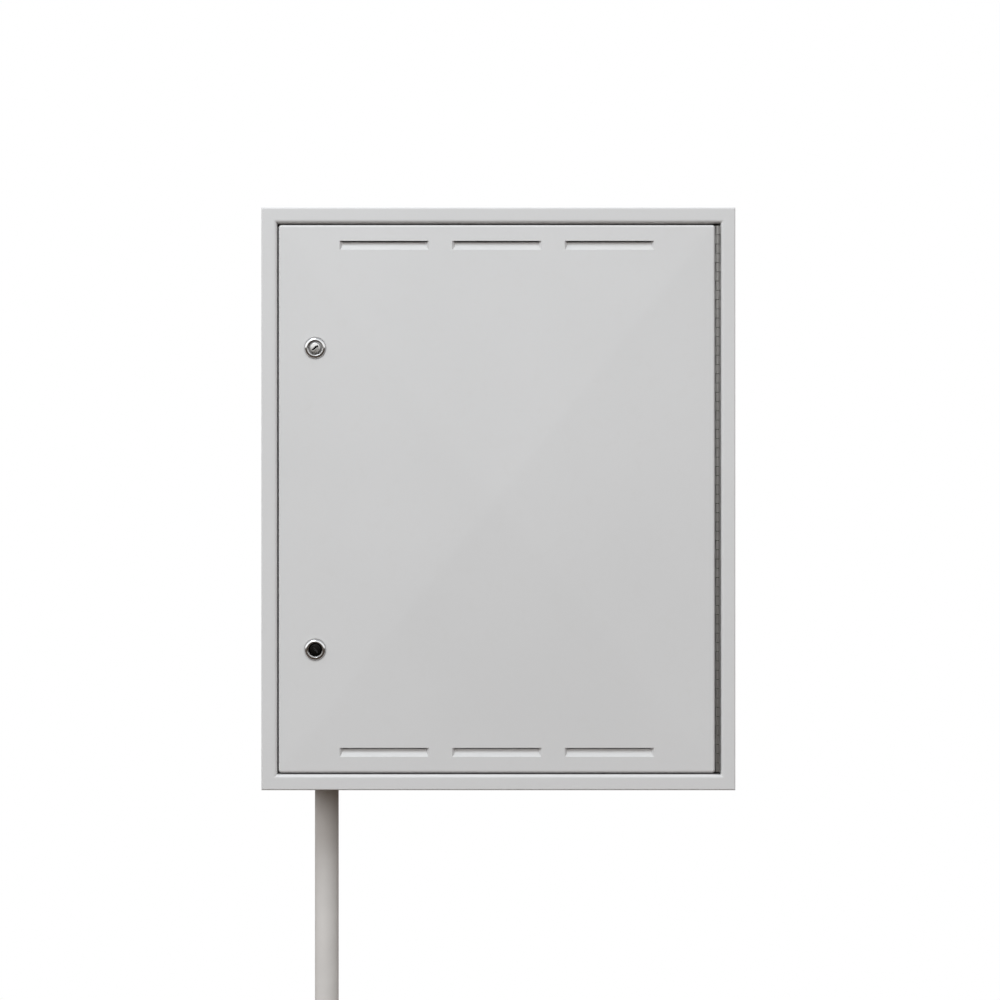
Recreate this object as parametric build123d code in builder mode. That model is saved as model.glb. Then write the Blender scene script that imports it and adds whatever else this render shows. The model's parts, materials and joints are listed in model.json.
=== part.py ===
"""Wall-mounted fibre termination box: a sheet-steel cabinet with a louvred, cross-broken door.

The door hangs on a continuous hinge at the right, inside a folded frame, and closes on two
quarter-turn locks at the left. A mounting plate inside carries two hinged splice trays, a shelf
of fibre adapters, slack spools and a cable anchor bar. A conduit leaves through the underside.

+X runs to the right and +Z up as the box hangs, and -Y points out of the wall. The origin lies
on the wall plane, at the centre of the four wall fixings. Units are millimetres.
"""

import os

from build123d import *

# ---- Cabinet
box_width = 484.0
box_height = 595.0
box_depth = 150.0  # wall plane to the front of the frame
sheet = 1.5  # steel of the cabinet, the frame and the door
bend_radius = 2.5  # outside radius of the cabinet's folded edges
weld_radius = 3.0  # outside radius of a welded corner, dressed smooth
frame_face = 16.0  # width of the frame that shows round the door
hinge_face = 15.0  # the same, on the hinge side
frame_rim_radius = 1.5  # outside radius of the frame's outer edges
frame_lip_radius = 3.5  # outside radius of the frame's edges round the door
frame_wrap = 20.0  # how far the frame folds back over the cabinet's sides
stop_depth = 26.0  # front of the frame to the front of the door stop
stop_width = 14.0  # how far the door stop stands in from the aperture
fixing_inset_x = 25.5  # cabinet's outer side to a wall fixing
fixing_inset_z = 31.0  # cabinet's outer top or bottom to a wall fixing
fixing_hole_radius = 4.25

# ---- Door
door_recess = 1.5  # front of the frame to the front of the door
door_return = 20.0  # depth of the door's folded edges
door_gap = 1.7  # above the door and below it
latch_gap = 1.5  # beside the door's lock edge
door_bend_radius = 2.6
cross_break_rise = 4.5  # how far the diagonal creases lift the middle of the door
cross_break_margin = 4.0  # flat border outside the creases

# ---- Louvres, pressed inward, with a slit along the top
louvre_count = 3
louvre_pitch = 115.0
louvre_length = 91.0
louvre_height = 9.0
louvre_depth = 3.6
louvre_slope = 2.6  # width of the sloping ends
louvre_slit = 1.1
louvre_belly_depth = 2.5  # how deep the scooped floor still is at its belly
louvre_belly_drop = 2.0  # louvre's middle down to the belly
louvre_wall = 1.2
louvre_inset = 16.4  # door's edge to the nearest row

# ---- Continuous hinge
knuckle_pitch = 9.46
knuckle_gap = 0.6
knuckle_radius = 2.1
hinge_pin_radius = 1.2
hinge_pin_clearance = 0.05
leaf_thickness = 1.0
leaf_width = 18.0  # hinge axis to the leaf's edge
leaf_setback = 0.65  # knuckle to the steel beside it
leaf_notch = 2.9  # hinge axis to the bottom of the notch for the other leaf's knuckle
hinge_set_in = 0.5  # front of the door to the hinge axis
rivet_pitch = 80.0
rivet_end_margin = 20.0  # hinge's end to the nearest rivet, at least
rivet_stagger = 20.0  # door rivets stand this far above the frame's
rivet_radius = 1.6
rivet_head_radius = 3.2
rivet_head_height = 0.9
rivet_tail_radius = 2.4
rivet_tail_height = 1.8
rivet_reach = 11.0  # hinge axis to the rivets

# ---- Quarter-turn locks
lock_setback = 37.5  # door's lock edge to the lock axes
lock_spacing = 308.0
bezel_lap = 1.5  # how far the bezel reaches past the lock's body
bezel_height = 3.0
bezel_round = 2.7
lock_seat_margin = 0.4  # bezel to the edge of the flat pressed into the creased face
lock_body_radius = 9.5
lock_flats = 17.0  # across the flats of the lock's body
lock_body_length = 22.5  # front of the door to the end of the lock's body
lock_hole_clearance = 0.1
socket_radius = 7.5
socket_depth = 4.0
plug_radius = 6.95
plug_clearance = 0.05
boss_radius = 5.2
boss_drop = 0.9  # front of the bezel to the front of the plug's boss
keyway_length = 7.6
keyway_width = 1.7
keyway_depth = 6.0
keyway_angles = (35.0, -52.0)  # upper lock, lower lock
lock_nut_wall = 2.5
lock_nut_thickness = 4.0
cam_thickness = 3.0
cam_clearance = 0.3  # behind the door stop
cam_reach = 31.0
cam_width = 14.0
cam_hub_radius = 9.0
cam_square = 7.0
cam_bolt_flats = 8.0
cam_bolt_head = 3.5
cam_washer_radius = 6.5
cam_washer_thickness = 1.0

# ---- Door seal
seal_width = 11.0
seal_gap = 0.3  # seal to the door's folded edge
seal_side_gap = 1.0  # seal to the aperture wall
seal_round = 1.0

# ---- Conduit and underside entries
entry_from_side = 61.0  # cabinet's left side to the conduit
entry_from_wall = 62.0
conduit_radius = 12.5
conduit_wall = 1.8
conduit_drop = 290.0  # below the frame
conduit_rise = 16.0  # above the cabinet floor
socket_clearance = 0.06
bush_wall = 2.6
bush_flange_radius = 18.0
bush_flange_thickness = 3.0
bush_thread_height = 12.0
bush_nut_flats = 38.0
bush_nut_thickness = 6.0
coupler_length = 50.0
coupler_wall = 2.2
coupler_stop = 2.0
blank_radius = 12.5
blank_flange_radius = 15.5
blank_height = 5.0
blank_offsets = (121.0, 241.0)  # conduit to each blanked entry

# ---- Mounting plate
plate_margin_x = 52.0  # cabinet's outer side to the plate
plate_margin_z = 57.5
plate_thickness = 2.0
plate_corner = 8.0
plate_standoff = 12.0  # cabinet back to the plate
stud_inset_x = 15.0  # plate's edge to a stud
stud_inset_z = 15.0
stud_radius = 3.0
stud_length = 22.0
spacer_radius = 6.0
washer_radius = 6.25
washer_thickness = 1.6
plate_nut_flats = 10.0
plate_nut_thickness = 5.0
thread_clearance = 0.1
earth_stud_radius = 4.0
earth_stud_length = 26.0
earth_from_side = 28.0
earth_above_floor = 79.5
earth_nut_flats = 13.0
earth_nut_thickness = 6.5

# ---- Screws on the plate
screw_radius = 2.0
screw_head_radius = 3.9
screw_head_height = 2.4
screw_tail = 3.0  # past the back of the plate

# ---- Splice trays
tray_width = 146.0
tray_height = 110.0
tray_depth = 10.0
tray_gap = 1.0  # rear tray to front tray
tray_wall = 1.5
tray_corner = 8.0
tray_lift = 6.0  # hinge pins to the trays' lower edge
tray_hinge_height = 66.0
tray_hinge_from_plate = 8.5
tray_pin_radius = 2.0
tray_pin_clearance = 0.05
lug_radius = 4.5
lug_width = 3.0
lug_gap = 0.5
tray_front_hinge_step = 19.0  # rear hinge pin to front hinge pin
tray_back_gap = 3.0  # rear hinge pin to the rear tray's back
mandrel_radius = 24.0
mandrel_wall = 1.4
mandrel_offset = 40.0
mandrel_height = 7.0
comb_length = 44.0
comb_height = 30.0
comb_thickness = 6.0
comb_slots = 6
comb_pitch = 4.4
comb_slot_width = 2.6
comb_slot_depth = 4.5
comb_rise = 40.0  # middle of the tray to the middle of the comb
cover_thickness = 1.6
cover_lip = 2.5
bracket_height = 20.0
bracket_ear_reach = 15.0

# ---- Adapter shelf
shelf_width = 236.0
shelf_height = -60.0
shelf_reach = 64.0
shelf_flange = 28.0
shelf_lip = 10.0
shelf_bend = 2.0
adapter_columns = 6
adapter_rows = 2
adapter_pitch_x = 35.0
adapter_pitch_y = 24.0
adapter_middle = 34.0  # plate to the middle of the two rows
adapter_body = (13.0, 9.3, 28.0)
adapter_flange = (22.0, 9.3, 2.0)
adapter_port = (10.6, 7.0, 8.0)
adapter_fit = 0.1
cap_head = (11.8, 8.2, 6.0)
cap_stem = 6.0

# ---- Slack spools and cable anchor bar
spool_points = ((-142.0, 40.0), (142.0, 40.0), (60.0, -160.0))
spool_radius = 30.0
spool_wall = 2.0
spool_height = 24.0
spool_base = 3.0
spool_tab_reach = 9.0
spool_tab_width = 14.0
anchor_middle = -118.0
anchor_height = -195.0
anchor_length = 84.0
anchor_foot = 18.0
anchor_rise = 20.0
anchor_depth = 22.0
anchor_sheet = 1.5
anchor_bend = 2.5
anchor_slot = 12.0
anchor_slot_width = 4.2
anchor_slots = 4
anchor_slot_pitch = 19.0

# ---- Places worked out from the sizes above
half_height = box_height / 2
pan_width = box_width - 2 * sheet
pan_height = box_height - 2 * sheet
pan_depth = box_depth - sheet
floor_under = -pan_height / 2
floor_top = floor_under + sheet
aperture_width = box_width - frame_face - hinge_face
aperture_x = (frame_face - hinge_face) / 2
aperture_left = aperture_x - aperture_width / 2
aperture_right = aperture_x + aperture_width / 2
aperture_height = box_height - 2 * frame_face
stop_front = box_depth - stop_depth
stop_back = stop_front - sheet
fixing_spacing_x = pan_width - 2 * fixing_inset_x
fixing_spacing_z = pan_height - 2 * fixing_inset_z

door_front = box_depth - door_recess
door_back = door_front - door_return
hinge_gap = 2 * (knuckle_radius + leaf_setback)
door_width = aperture_width - hinge_gap - latch_gap
door_height = aperture_height - 2 * door_gap
door_left = aperture_left + latch_gap
door_right = door_left + door_width
door_x = (door_left + door_right) / 2
hinge_x = aperture_right - hinge_gap / 2
hinge_from_wall = door_front - hinge_set_in
knuckle_count = int(door_height / knuckle_pitch)
hinge_length = knuckle_count * knuckle_pitch
rivet_count = 1 + int((hinge_length - 2 * rivet_end_margin) / rivet_pitch)

lock_x = door_left + lock_setback
lock_heights = (lock_spacing / 2, -lock_spacing / 2)
bezel_radius = lock_body_radius + bezel_lap
bezel_front = door_front + bezel_height
lock_seat_radius = bezel_radius + lock_seat_margin
lock_nut_flats = 2 * (lock_body_radius + lock_nut_wall)
cam_front = stop_back - cam_clearance
cam_back = cam_front - cam_thickness

entry_x = -box_width / 2 + entry_from_side
conduit_bore_radius = conduit_radius - conduit_wall
conduit_top = floor_top + conduit_rise
conduit_bottom = -half_height - conduit_drop
bush_bore_radius = conduit_radius + socket_clearance
bush_radius = bush_bore_radius + bush_wall
blank_xs = [entry_x + offset_x for offset_x in blank_offsets]

plate_width = box_width - 2 * plate_margin_x
plate_height = box_height - 2 * plate_margin_z
plate_back = sheet + plate_standoff
plate_front = plate_back + plate_thickness
stud_spacing_x = plate_width - 2 * stud_inset_x
stud_spacing_z = plate_height - 2 * stud_inset_z
earth_x = box_width / 2 - earth_from_side
earth_height = floor_top + earth_above_floor

rear_pin = plate_front + tray_hinge_from_plate
front_pin = rear_pin + tray_front_hinge_step
rear_tray_back = rear_pin + tray_back_gap
rear_tray_front = rear_tray_back + tray_depth
front_tray_back = rear_tray_front + tray_gap
front_tray_front = front_tray_back + tray_depth
tray_bottom = tray_hinge_height + tray_lift
tray_middle = tray_bottom + tray_height / 2
bracket_inside = tray_width + 2 * lug_gap
bracket_outside = bracket_inside + 2 * sheet

bracket_screw_points = [(x, tray_hinge_height) for x in (-50.0, 0.0, 50.0)]
shelf_screw_points = [(x, shelf_height + shelf_flange / 2) for x in (-100.0, -35.0, 35.0, 100.0)]
anchor_screw_reach = anchor_length / 2 + anchor_foot / 2
anchor_screw_points = [(anchor_middle + side * anchor_screw_reach, anchor_height) for side in (-1, 1)]
louvre_z = door_height / 2 - louvre_inset - louvre_height / 2


def from_wall(distance):
    """The plane parallel to the wall and that far out from it, facing out of the wall."""
    return Plane.XZ.offset(distance)


def save(builder, name):
    """Labels a finished piece and writes it to its own STEP file."""
    builder.part.label = name
    export_step(builder.part, f"parts/{name}.step")


os.makedirs("parts", exist_ok=True)

# ================================================================ Cabinet

# Back, sides, top and floor, folded from one sheet and welded at the corners.
with BuildPart() as pan_inside:
    with BuildSketch(from_wall(sheet)):
        RectangleRounded(pan_width - 2 * sheet, pan_height - 2 * sheet, weld_radius - sheet)
    extrude(amount=pan_depth)
    fillet(pan_inside.faces().sort_by(Axis.Y)[-1].edges(), bend_radius - sheet)

with BuildPart() as back_pan:
    with BuildSketch(from_wall(0)):
        RectangleRounded(pan_width, pan_height, weld_radius)
    extrude(amount=pan_depth)
    fillet(back_pan.faces().sort_by(Axis.Y)[-1].edges(), bend_radius)
    add(pan_inside.part, mode=Mode.SUBTRACT)
    with BuildSketch(from_wall(-sheet)):
        with GridLocations(fixing_spacing_x, fixing_spacing_z, 2, 2):
            Circle(fixing_hole_radius)
    extrude(amount=3 * sheet, mode=Mode.SUBTRACT)
    with BuildSketch(Plane.XY.offset(floor_under - sheet)):
        with Locations((entry_x, -entry_from_wall)):
            Circle(bush_radius + thread_clearance)
        with Locations(*[(x, -entry_from_wall) for x in blank_xs]):
            Circle(blank_radius + thread_clearance)
    extrude(amount=3 * sheet, mode=Mode.SUBTRACT)
save(back_pan, "back_pan")

frame_rivet_lowest = -(rivet_count - 1) / 2 * rivet_pitch - rivet_stagger / 2
frame_rivet_heights = [frame_rivet_lowest + i * rivet_pitch for i in range(rivet_count)]
door_rivet_heights = [height + rivet_stagger for height in frame_rivet_heights]
rivet_y = -(hinge_from_wall - rivet_reach)

# Frame round the door: face, outer wrap, inner return and door stop, mitred and welded.
with BuildPart() as front_frame:
    with BuildSketch(from_wall(box_depth)):
        Rectangle(box_width, box_height)
        with Locations((aperture_x, 0)):
            Rectangle(aperture_width, aperture_height, mode=Mode.SUBTRACT)
    extrude(amount=-sheet)
    with BuildSketch(from_wall(box_depth)):
        Rectangle(box_width, box_height)
        Rectangle(pan_width, pan_height, mode=Mode.SUBTRACT)
    extrude(amount=-frame_wrap)
    with BuildSketch(from_wall(box_depth)):
        with Locations((aperture_x, 0)):
            Rectangle(aperture_width + 2 * sheet, aperture_height + 2 * sheet)
            Rectangle(aperture_width, aperture_height, mode=Mode.SUBTRACT)
    extrude(amount=-(stop_depth + sheet))
    with BuildSketch(from_wall(stop_front)):
        with Locations((aperture_x, 0)):
            Rectangle(aperture_width + 2 * sheet, aperture_height + 2 * sheet)
            Rectangle(aperture_width - 2 * stop_width, aperture_height - 2 * stop_width, mode=Mode.SUBTRACT)
    extrude(amount=-sheet)
    face = front_frame.faces().sort_by(Axis.Y)[0]
    fillet(face.outer_wire().edges(), frame_rim_radius)
    face = front_frame.faces().sort_by(Axis.Y)[0]
    fillet(face.inner_wires().edges(), frame_lip_radius)
    lip_corner = [
        edge
        for edge in front_frame.edges()
        if abs(edge.center().Y - sheet + box_depth) < 0.01
        and abs(edge.center().X - aperture_x) < aperture_width / 2 + 2 * sheet
        and abs(edge.center().Z) < aperture_height / 2 + 2 * sheet
    ]
    fillet(lip_corner, frame_lip_radius - sheet)
    with BuildSketch(Plane.YZ.offset(aperture_right - sheet)):
        with Locations(*[(rivet_y, height) for height in frame_rivet_heights]):
            Circle(rivet_radius)
    extrude(amount=3 * sheet, mode=Mode.SUBTRACT)
save(front_frame, "front_frame")

# Foam seal on the door stop, all the way round.
with BuildPart() as door_seal:
    with BuildSketch(from_wall(stop_front)):
        with Locations((aperture_x, 0)):
            Rectangle(aperture_width - 2 * seal_side_gap, aperture_height - 2 * seal_side_gap)
            Rectangle(
                aperture_width - 2 * (seal_side_gap + seal_width),
                aperture_height - 2 * (seal_side_gap + seal_width),
                mode=Mode.SUBTRACT,
            )
    extrude(amount=door_back - seal_gap - stop_front)
    fillet(door_seal.faces().sort_by(Axis.Y)[0].edges(), seal_round)
save(door_seal, "door_seal")

# ================================================================ Door


def cross_break(base):
    """The shallow pyramid that the diagonal creases raise on a plane that far from the wall."""
    half_width = door_width / 2 - cross_break_margin
    half_tall = door_height / 2 - cross_break_margin
    corners = [
        Vector(door_x + side_x * half_width, -base, side_z * half_tall)
        for side_x, side_z in ((-1, -1), (1, -1), (1, 1), (-1, 1))
    ]
    apex = Vector(door_x, -base - cross_break_rise, 0)
    sides = [Face(Wire.make_polygon([a, b, apex])) for a, b in zip(corners, corners[1:] + corners[:1])]
    return Solid(Shell([Face(Wire.make_polygon(corners)), *sides]))


def louvre_form(wall):
    """A louvre's inside shape at the origin, or its outside shape if a wall is added."""
    top = louvre_height / 2
    depth = louvre_depth + wall
    length = louvre_length + 2 * wall
    low_edge = (0, -top - wall)
    with BuildPart() as form:
        with BuildSketch(Plane.YZ.offset(-length / 2)):
            with BuildLine():
                Polyline(low_edge, (0, top), (depth, top), (depth, top - louvre_slit - wall))
                ThreePointArc(
                    (depth, top - louvre_slit - wall),
                    (louvre_belly_depth + 0.85 * wall, -louvre_belly_drop - wall / 2),
                    low_edge,
                )
            make_face()
        extrude(amount=length)
        with BuildSketch(from_wall(0)):
            Rectangle(length, 2 * louvre_height)
        with BuildSketch(from_wall(-depth)):
            Rectangle(length - 2 * louvre_slope, 2 * louvre_height)
        loft(ruled=True, mode=Mode.INTERSECT)
    return form.part


louvre_outside = louvre_form(louvre_wall)
louvre_inside = louvre_form(0)
louvre_places = [
    (door_x + (column - (louvre_count - 1) / 2) * louvre_pitch, -door_front, row * louvre_z)
    for row in (1, -1)
    for column in range(louvre_count)
]
lock_points = [(lock_x, height) for height in lock_heights]
cross_break_outside = cross_break(door_front)
cross_break_inside = cross_break(door_front - sheet)

with BuildPart() as door_inside:
    with BuildSketch(from_wall(door_back)):
        with Locations((door_x, 0)):
            RectangleRounded(door_width - 2 * sheet, door_height - 2 * sheet, weld_radius - sheet)
    extrude(amount=door_return - sheet)
    fillet(door_inside.faces().sort_by(Axis.Y)[0].edges(), door_bend_radius - sheet)

# Door: a shallow folded tray with creased face, six louvres and a flat seat round each lock.
with BuildPart() as door_panel:
    with BuildSketch(from_wall(door_back)):
        with Locations((door_x, 0)):
            RectangleRounded(door_width, door_height, weld_radius)
    extrude(amount=door_return)
    fillet(door_panel.faces().sort_by(Axis.Y)[0].edges(), door_bend_radius)
    add(cross_break_outside)
    add(door_inside.part, mode=Mode.SUBTRACT)
    add(cross_break_inside, mode=Mode.SUBTRACT)
    with Locations(*louvre_places):
        add(louvre_outside)
    with Locations(*louvre_places):
        add(louvre_inside, mode=Mode.SUBTRACT)
    with BuildSketch(from_wall(door_front)):
        with Locations(*[(x, z) for x, _, z in louvre_places]):
            Rectangle(louvre_length, louvre_height)
    extrude(amount=cross_break_rise, mode=Mode.SUBTRACT)
    with BuildSketch(from_wall(door_front)):
        with Locations(*[(x, z + louvre_height / 2) for x, _, z in louvre_places]):
            Rectangle(louvre_length - 2 * louvre_slope, louvre_slit, align=(Align.CENTER, Align.MAX))
    extrude(amount=-(louvre_depth + 2 * louvre_wall), mode=Mode.SUBTRACT)
    with BuildSketch(from_wall(door_front - sheet)):
        with Locations(*lock_points):
            Circle(lock_seat_radius + sheet)
    extrude(amount=sheet)
    with BuildSketch(from_wall(door_front)):
        with Locations(*lock_points):
            Circle(lock_seat_radius)
    extrude(amount=cross_break_rise, mode=Mode.SUBTRACT)
    with BuildSketch(from_wall(door_front)):
        with Locations(*lock_points):
            Circle(lock_body_radius + lock_hole_clearance)
        with Locations(*lock_points):
            Rectangle(lock_flats + 2 * lock_hole_clearance, 3 * lock_body_radius, mode=Mode.INTERSECT)
    extrude(amount=-3 * sheet, mode=Mode.SUBTRACT)
    with BuildSketch(Plane.YZ.offset(door_right - 2 * sheet)):
        with Locations(*[(rivet_y, height) for height in door_rivet_heights]):
            Circle(rivet_radius)
    extrude(amount=3 * sheet, mode=Mode.SUBTRACT)
save(door_panel, "door_panel")

# ================================================================ Continuous hinge


def hinge_leaf(side, first, rivet_heights):
    """One leaf with every second knuckle. side is 1 for the frame's leaf and -1 for the door's."""
    outside = hinge_x + side * (knuckle_radius + leaf_setback)
    leaf_align = (Align.MAX if side > 0 else Align.MIN, Align.MIN, Align.CENTER)
    heights = [-hinge_length / 2 + (i + 0.5) * knuckle_pitch for i in range(first, knuckle_count, 2)]
    knuckle_length = knuckle_pitch - knuckle_gap
    with BuildPart() as leaf:
        with Locations((outside, -hinge_from_wall + leaf_notch, 0)):
            Box(leaf_thickness, leaf_width - leaf_notch, hinge_length, align=leaf_align)
        with Locations(*[(outside, -hinge_from_wall, height) for height in heights]):
            Box(leaf_thickness, leaf_notch, knuckle_length, align=leaf_align)
        with Locations(*[(hinge_x, -hinge_from_wall, height) for height in heights]):
            Cylinder(knuckle_radius, knuckle_length)
        with Locations((hinge_x, -hinge_from_wall, 0)):
            Cylinder(hinge_pin_radius + hinge_pin_clearance, hinge_length + 2, mode=Mode.SUBTRACT)
        with BuildSketch(Plane.YZ.offset(outside - sheet)):
            with Locations(*[(rivet_y, height) for height in rivet_heights]):
                Circle(rivet_radius)
        extrude(amount=2 * sheet, mode=Mode.SUBTRACT)
    return leaf


def rivets(side, heights):
    """Blind rivets through a hinge leaf and the steel behind it, with their heads on the leaf."""
    head_face = hinge_x + side * (knuckle_radius + leaf_setback - leaf_thickness)
    tail_face = hinge_x + side * (knuckle_radius + leaf_setback + sheet)
    with BuildPart() as group:
        with BuildSketch(Plane.YZ.offset(head_face)):
            with Locations(*[(rivet_y, height) for height in heights]):
                Circle(rivet_head_radius)
        extrude(amount=-side * rivet_head_height)
        head_tops = group.faces().group_by(Axis.X)[0 if side > 0 else -1]
        fillet(head_tops.edges(), rivet_head_height * 0.8)
        with BuildSketch(Plane.YZ.offset(head_face)):
            with Locations(*[(rivet_y, height) for height in heights]):
                Circle(rivet_radius)
        extrude(amount=side * (leaf_thickness + sheet + rivet_tail_height / 2))
        with BuildSketch(Plane.YZ.offset(tail_face)):
            with Locations(*[(rivet_y, height) for height in heights]):
                Circle(rivet_tail_radius)
        extrude(amount=side * rivet_tail_height)
    return group


save(hinge_leaf(1, 0, frame_rivet_heights), "hinge_frame_leaf")
save(hinge_leaf(-1, 1, door_rivet_heights), "hinge_door_leaf")
save(rivets(1, frame_rivet_heights), "hinge_frame_rivets")
save(rivets(-1, door_rivet_heights), "hinge_door_rivets")

with BuildPart() as hinge_pin:
    with Locations((hinge_x, -hinge_from_wall, 0)):
        Cylinder(hinge_pin_radius, hinge_length)
save(hinge_pin, "hinge_pin")

# ================================================================ Locks


def lock_housing(height):
    """Chromed lock body with a round bezel in front, flats on its sides and a bore for the plug."""
    with BuildPart() as housing:
        with BuildSketch(from_wall(door_front)):
            with Locations((lock_x, height)):
                Circle(bezel_radius)
        extrude(amount=bezel_height)
        fillet(housing.faces().sort_by(Axis.Y)[0].edges(), bezel_round)
        with BuildSketch(from_wall(door_front)):
            with Locations((lock_x, height)):
                Circle(lock_body_radius)
                Rectangle(lock_flats, 3 * lock_body_radius, mode=Mode.INTERSECT)
        extrude(amount=-lock_body_length)
        with BuildSketch(from_wall(bezel_front)):
            with Locations((lock_x, height)):
                Circle(socket_radius)
        extrude(amount=-socket_depth, mode=Mode.SUBTRACT)
        with BuildSketch(from_wall(bezel_front)):
            with Locations((lock_x, height)):
                Circle(plug_radius + plug_clearance)
        extrude(amount=-2 * lock_body_length, mode=Mode.SUBTRACT)
    return housing


def lock_nut(height):
    """Hexagon nut that clamps the lock's body from inside the door."""
    with BuildPart() as nut:
        with BuildSketch(from_wall(door_front - sheet)):
            with Locations((lock_x, height)):
                RegularPolygon(lock_nut_flats / 2, 6, major_radius=False)
                Circle(lock_body_radius + thread_clearance, mode=Mode.SUBTRACT)
        extrude(amount=-lock_nut_thickness)
    return nut


def lock_plug(height, keyway_angle):
    """The turning core: a boss with a keyway in front and a square end that carries the cam."""
    with BuildPart() as plug:
        with BuildSketch(from_wall(cam_front)):
            with Locations((lock_x, height)):
                Circle(plug_radius)
        extrude(amount=bezel_front - socket_depth - cam_front)
        with BuildSketch(from_wall(cam_front)):
            with Locations((lock_x, height)):
                Circle(boss_radius)
        extrude(amount=bezel_front - boss_drop - cam_front)
        fillet(plug.faces().sort_by(Axis.Y)[0].edges(), boss_drop / 2)
        with BuildSketch(from_wall(bezel_front - boss_drop)):
            with Locations((lock_x, height)):
                Rectangle(keyway_length, keyway_width, rotation=keyway_angle)
        extrude(amount=-keyway_depth, mode=Mode.SUBTRACT)
        with BuildSketch(from_wall(cam_back)):
            with Locations((lock_x, height)):
                Rectangle(cam_square, cam_square)
        extrude(amount=cam_thickness)
    return plug


def lock_cam(height):
    """The bar that turns behind the door stop. It hangs straight down, unlocked."""
    with BuildPart() as cam:
        with BuildSketch(from_wall(cam_back)):
            with Locations((lock_x, height)):
                Circle(cam_hub_radius)
                Rectangle(cam_width, cam_reach, align=(Align.CENTER, Align.MAX))
        extrude(amount=cam_thickness)
        tip = cam.edges().filter_by(Axis.Y).sort_by(Axis.Z)[:2]
        fillet(tip, cam_width / 4)
        with BuildSketch(from_wall(cam_back)):
            with Locations((lock_x, height)):
                Rectangle(cam_square, cam_square)
        extrude(amount=cam_thickness, mode=Mode.SUBTRACT)
    return cam


def cam_bolt(height):
    """Washer and hexagon head that hold the cam on the plug's square."""
    with BuildPart() as bolt:
        with BuildSketch(from_wall(cam_back)):
            with Locations((lock_x, height)):
                Circle(cam_washer_radius)
        extrude(amount=-cam_washer_thickness)
        with BuildSketch(from_wall(cam_back - cam_washer_thickness)):
            with Locations((lock_x, height)):
                RegularPolygon(cam_bolt_flats / 2, 6, major_radius=False)
        extrude(amount=-cam_bolt_head)
    return bolt


for place, lock_height, keyway in zip(("upper", "lower"), lock_heights, keyway_angles):
    save(lock_housing(lock_height), f"{place}_lock_housing")
    save(lock_nut(lock_height), f"{place}_lock_nut")
    save(lock_plug(lock_height, keyway), f"{place}_lock_plug")
    save(lock_cam(lock_height), f"{place}_lock_cam")
    save(cam_bolt(lock_height), f"{place}_cam_bolt")

# ================================================================ Conduit and underside entries

# Flanged bush through the floor, which the conduit passes up through.
with BuildPart() as entry_bush:
    with BuildSketch(Plane.XY.offset(floor_under)):
        with Locations((entry_x, -entry_from_wall)):
            Circle(bush_flange_radius)
    extrude(amount=-bush_flange_thickness)
    fillet(entry_bush.faces().sort_by(Axis.Z)[0].edges(), bush_flange_thickness / 3)
    with BuildSketch(Plane.XY.offset(floor_under)):
        with Locations((entry_x, -entry_from_wall)):
            Circle(bush_radius)
    extrude(amount=sheet + bush_thread_height)
    with BuildSketch(Plane.XY.offset(floor_under - 2 * bush_flange_thickness)):
        with Locations((entry_x, -entry_from_wall)):
            Circle(bush_bore_radius)
    extrude(amount=3 * bush_thread_height, mode=Mode.SUBTRACT)
save(entry_bush, "entry_bush")

with BuildPart() as bush_nut:
    with BuildSketch(Plane.XY.offset(floor_top)):
        with Locations((entry_x, -entry_from_wall)):
            RegularPolygon(bush_nut_flats / 2, 6, major_radius=False)
            Circle(bush_radius + thread_clearance, mode=Mode.SUBTRACT)
    extrude(amount=bush_nut_thickness)
    fillet(bush_nut.faces().sort_by(Axis.Z)[-1].outer_wire().edges(), bush_nut_thickness / 8)
save(bush_nut, "bush_nut")

with BuildPart() as conduit:
    with BuildSketch(Plane.XY.offset(conduit_bottom)):
        with Locations((entry_x, -entry_from_wall)):
            Circle(conduit_radius)
            Circle(conduit_bore_radius, mode=Mode.SUBTRACT)
    extrude(amount=conduit_top - conduit_bottom)
    fillet(conduit.faces().sort_by(Axis.Z)[-1].edges(), conduit_wall / 4)
save(conduit, "conduit")

# Coupler on the conduit's lower end: the open half takes the next length of conduit.
with BuildPart() as conduit_coupler:
    with BuildSketch(Plane.XY.offset(conduit_bottom - coupler_length / 2)):
        with Locations((entry_x, -entry_from_wall)):
            Circle(bush_bore_radius + coupler_wall)
            Circle(bush_bore_radius, mode=Mode.SUBTRACT)
    extrude(amount=coupler_length)
    ends = conduit_coupler.faces().sort_by(Axis.Z)
    fillet(ends[0].outer_wire().edges() + ends[-1].outer_wire().edges(), coupler_wall / 3)
    with BuildSketch(Plane.XY.offset(conduit_bottom)):
        with Locations((entry_x, -entry_from_wall)):
            Circle(bush_bore_radius + coupler_wall / 2)
            Circle(conduit_bore_radius + socket_clearance, mode=Mode.SUBTRACT)
    extrude(amount=-coupler_stop)
save(conduit_coupler, "conduit_coupler")

with BuildPart() as blanking_plugs:
    with BuildSketch(Plane.XY.offset(floor_under)):
        with Locations(*[(x, -entry_from_wall) for x in blank_xs]):
            Circle(blank_flange_radius)
    extrude(amount=-sheet)
    with BuildSketch(Plane.XY.offset(floor_under)):
        with Locations(*[(x, -entry_from_wall) for x in blank_xs]):
            Circle(blank_radius)
    extrude(amount=sheet + blank_height)
    with BuildSketch(Plane.XY.offset(floor_under + sheet / 2)):
        with Locations(*[(x, -entry_from_wall) for x in blank_xs]):
            Circle(blank_radius - louvre_wall)
    extrude(amount=sheet + blank_height, mode=Mode.SUBTRACT)
save(blanking_plugs, "blanking_plugs")

# ================================================================ Mounting plate and its fixings

all_screw_points = [*bracket_screw_points, *shelf_screw_points, *anchor_screw_points, *spool_points]

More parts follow.
